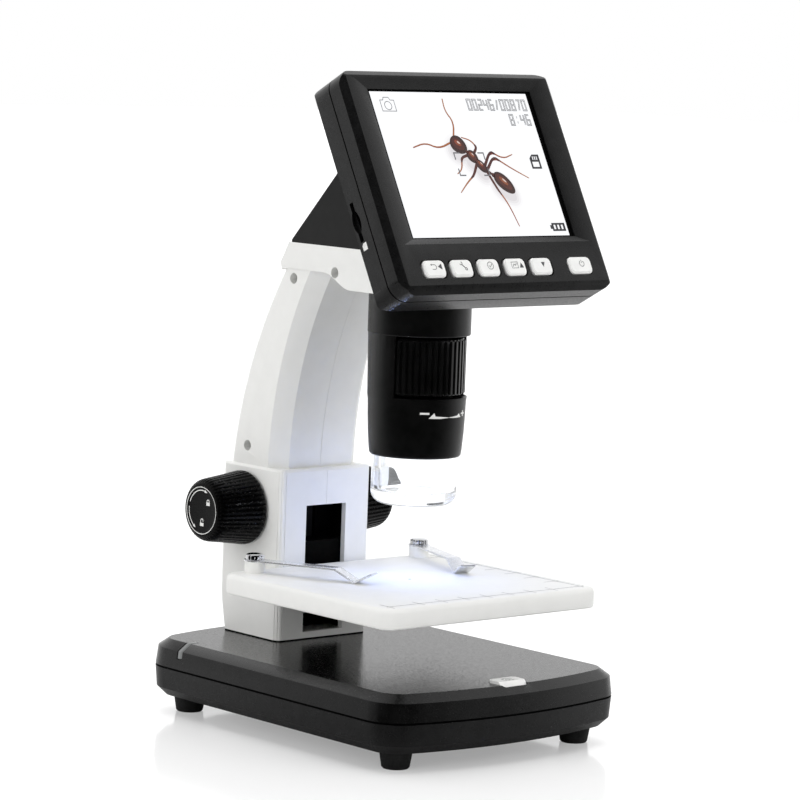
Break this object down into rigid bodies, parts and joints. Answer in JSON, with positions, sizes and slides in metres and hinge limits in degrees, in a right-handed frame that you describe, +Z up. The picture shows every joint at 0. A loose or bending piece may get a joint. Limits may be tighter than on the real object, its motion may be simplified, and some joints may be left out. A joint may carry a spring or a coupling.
{
  "type": "lcd digital microscope",
  "caption": "Free-standing digital microscope with a tilted colour screen, a curved arm, a lens barrel with a clear hood, and a stage that a rack and pinion raises",
  "frame": {"origin": "on the table plane, under the middle of the base's plan outline", "axes": "+Z is up, the screen faces -Y, +X is to the right of someone who faces the screen"},
  "size_m": [0.106, 0.1442, 0.2257],
  "materials": {
    "black_shell": "fine-grained satin",
    "white_shell": "smooth matte",
    "inner_black": "matte",
    "knob_black": "satin, ribbed",
    "cap_gloss": "glossy with a thin white ring",
    "white_key": "smooth, printed icon",
    "rubber_feet": "matte",
    "screw_steel": "zinc plated",
    "rack_steel": "machined",
    "shaft_steel": "ground",
    "socket_steel": "stamped",
    "bush_brass": "turned",
    "spring_chrome": "polished",
    "battery_wrap": "shrink wrap",
    "circuit_board": "solder mask",
    "led_board": "white solder mask",
    "socket_black": "moulded",
    "pad_white": "smooth",
    "light_guide": "clear, faintly lit",
    "clear_hood": "clear, polished",
    "lens_glass": "polished",
    "led_emitter": "lit",
    "screen": "lit panel"
  },
  "bodies": {
    "stand": {"base_upper_shell": "black_shell", "base_lower_shell": "black_shell", "base_feet": "rubber_feet", "base_screws": "screw_steel", "snap_switch": "circuit_board", "light_pipe": "light_guide", "battery": "battery_wrap", "charge_board": "circuit_board", "power_socket": "socket_black", "column_left_shell": "white_shell", "column_right_shell": "white_shell", "guide_rail": "inner_black", "column_screws": "screw_steel", "arm_left_shell": "white_shell", "arm_right_shell": "white_shell", "arm_screws": "screw_steel", "shaft_bush": "bush_brass", "barrel_shell": "black_shell", "sensor_board": "circuit_board", "led_board": "led_board", "leds": "led_emitter", "clear_cap": "clear_hood", "head_cover": "black_shell", "display_rear_shell": "black_shell", "display_bezel": "black_shell", "lcd_panel": "screen", "display_board": "circuit_board", "card_socket": "socket_steel", "key_board": "circuit_board", "display_screws": "screw_steel"},
    "stage": {"stage_carriage": "inner_black", "rack": "rack_steel", "stage_plate": "white_shell", "stage_screws": "screw_steel"},
    "focus_drive": {"focus_shaft": "shaft_steel", "pinion": "rack_steel", "focus_knob": "knob_black", "focus_knob_cap": "cap_gloss"},
    "stage_lock": {"lock_knob": "knob_black", "lock_knob_cap": "cap_gloss", "lock_screw": "shaft_steel", "brake_pad": "pad_white"},
    "left_clip": {"clip_left": "spring_chrome", "clip_head_left": "spring_chrome"},
    "right_clip": {"clip_right": "spring_chrome", "clip_head_right": "spring_chrome"},
    "focus_collar": {"focus_ring": "knob_black"},
    "lens_cell": {"lens_carrier": "inner_black", "lens_glass": "lens_glass"},
    "snap_key": {"snap_button": "white_key"},
    "key_return_cap": {"key_return": "white_key"},
    "key_setup_cap": {"key_setup": "white_key"},
    "key_ok_cap": {"key_ok": "white_key"},
    "key_up_cap": {"key_up": "white_key"},
    "key_down_cap": {"key_down": "white_key"},
    "key_power_cap": {"key_power": "white_key"}
  },
  "joints": [
    {"name": "stage_slide", "type": "slide", "parent": "stand", "child": "stage", "axis": [0, 0, 1], "range_m": [-0.0122, 0.02]},
    {"name": "focus_turn", "type": "hinge", "parent": "stand", "child": "focus_drive", "pos_m": [0.03, 0.052, 0.071], "axis": [1, 0, 0], "range_deg": [-239, 146]},
    {"name": "lock_turn", "type": "hinge", "parent": "stand", "child": "stage_lock", "pos_m": [-0.03, 0.052, 0.071], "axis": [-1, 0, 0], "range_deg": [-90, 0]},
    {"name": "focus_ring_turn", "type": "hinge", "parent": "stand", "child": "focus_collar", "pos_m": [0, -0.0134, 0.127], "axis": [0, 0, 1], "range_deg": [-76.5, 76.5]},
    {"name": "lens_slide", "type": "slide", "parent": "stand", "child": "lens_cell", "axis": [0, 0, 1], "range_m": [-0.00196, 0.00196]},
    {"name": "left_clip_turn", "type": "hinge", "parent": "stage", "child": "left_clip", "pos_m": [-0.0374, 0.0248, 0.057], "axis": [0, 0, 1], "range_deg": [-34, 16]},
    {"name": "right_clip_turn", "type": "hinge", "parent": "stage", "child": "right_clip", "pos_m": [0.0374, 0.0248, 0.057], "axis": [0, 0, 1], "range_deg": [-30, 25]},
    {"name": "snap_press", "type": "slide", "parent": "stand", "child": "snap_key", "axis": [0, 0, -1], "range_m": [0, 0.0007], "stiffness_N_per_m": 1200, "springref_m": -0.0004},
    {"name": "key_return_press", "type": "slide", "parent": "stand", "child": "key_return_cap", "axis": [0, 0.8829, -0.4695], "range_m": [0, 0.0004], "stiffness_N_per_m": 1800, "springref_m": -0.0003},
    {"name": "key_setup_press", "type": "slide", "parent": "stand", "child": "key_setup_cap", "axis": [0, 0.8829, -0.4695], "range_m": [0, 0.0004], "stiffness_N_per_m": 1800, "springref_m": -0.0003},
    {"name": "key_ok_press", "type": "slide", "parent": "stand", "child": "key_ok_cap", "axis": [0, 0.8829, -0.4695], "range_m": [0, 0.0004], "stiffness_N_per_m": 1800, "springref_m": -0.0003},
    {"name": "key_up_press", "type": "slide", "parent": "stand", "child": "key_up_cap", "axis": [0, 0.8829, -0.4695], "range_m": [0, 0.0004], "stiffness_N_per_m": 1800, "springref_m": -0.0003},
    {"name": "key_down_press", "type": "slide", "parent": "stand", "child": "key_down_cap", "axis": [0, 0.8829, -0.4695], "range_m": [0, 0.0004], "stiffness_N_per_m": 1800, "springref_m": -0.0003},
    {"name": "key_power_press", "type": "slide", "parent": "stand", "child": "key_power_cap", "axis": [0, 0.8829, -0.4695], "range_m": [0, 0.0004], "stiffness_N_per_m": 1800, "springref_m": -0.0003}
  ],
  "couplings": [
    {"joint": "focus_turn", "follows": "stage_slide", "rad_per_m": -208.33},
    {"joint": "focus_ring_turn", "follows": "lens_slide", "rad_per_m": 666.67}
  ]
}
